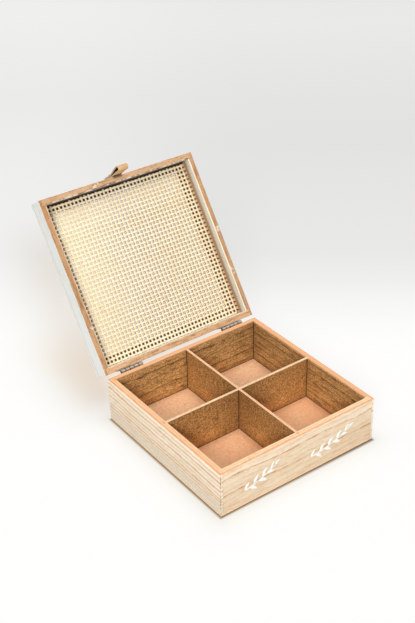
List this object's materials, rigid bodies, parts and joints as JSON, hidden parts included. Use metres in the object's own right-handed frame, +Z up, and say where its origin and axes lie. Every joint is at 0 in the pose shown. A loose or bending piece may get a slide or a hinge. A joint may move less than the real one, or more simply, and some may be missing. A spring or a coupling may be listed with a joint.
{
  "type": "tea bag organizer box",
  "caption": "Square hinged wooden box with lapped dividers inside and a cane-panelled lid that is opened by a leather pull tab.",
  "frame": {"origin": "middle of the underside of the bottom board", "axes": "+Z up; +Y from the front towards the hinges; +X to the right along the front. Stored with the lid open"},
  "size_m": [0.2, 0.3371, 0.2367],
  "materials": {
    "base_wood": "unfinished pale wood, smooth sanded",
    "bottom_hardboard": "smooth pressed board",
    "divider_hardboard": "stained pressed board",
    "lid_wood": "whitewashed wood",
    "cane": "natural peeled cane, satin",
    "hinge_steel": "nickel-plated steel",
    "leather": "vegetable-tanned, matt",
    "stud_brass": "plain brass"
  },
  "bodies": {
    "base": {"front_wall": "base_wood", "back_wall": "base_wood", "left_wall": "base_wood", "right_wall": "base_wood", "bottom_board": "bottom_hardboard", "lengthwise_divider": "divider_hardboard", "crosswise_divider": "divider_hardboard", "left_hinge_base_leaf": "hinge_steel", "right_hinge_base_leaf": "hinge_steel", "left_hinge_pin": "hinge_steel", "right_hinge_pin": "hinge_steel", "base_hinge_screws": "hinge_steel"},
    "lid": {"lid_front_rail": "lid_wood", "lid_back_rail": "lid_wood", "lid_left_rail": "lid_wood", "lid_right_rail": "lid_wood", "lid_front_top_strip": "lid_wood", "lid_back_top_strip": "lid_wood", "lid_left_top_strip": "lid_wood", "lid_right_top_strip": "lid_wood", "cane_panel": "cane", "left_hinge_lid_leaf": "hinge_steel", "right_hinge_lid_leaf": "hinge_steel", "lid_hinge_screws": "hinge_steel", "pull_tab": "leather", "tab_stud": "stud_brass"}
  },
  "joints": [
    {"name": "lid_hinge", "type": "hinge", "parent": "base", "child": "lid", "pos_m": [0, 0.1022, 0.0542], "axis": [1, 0, 0], "range_deg": [0, 125]}
  ]
}
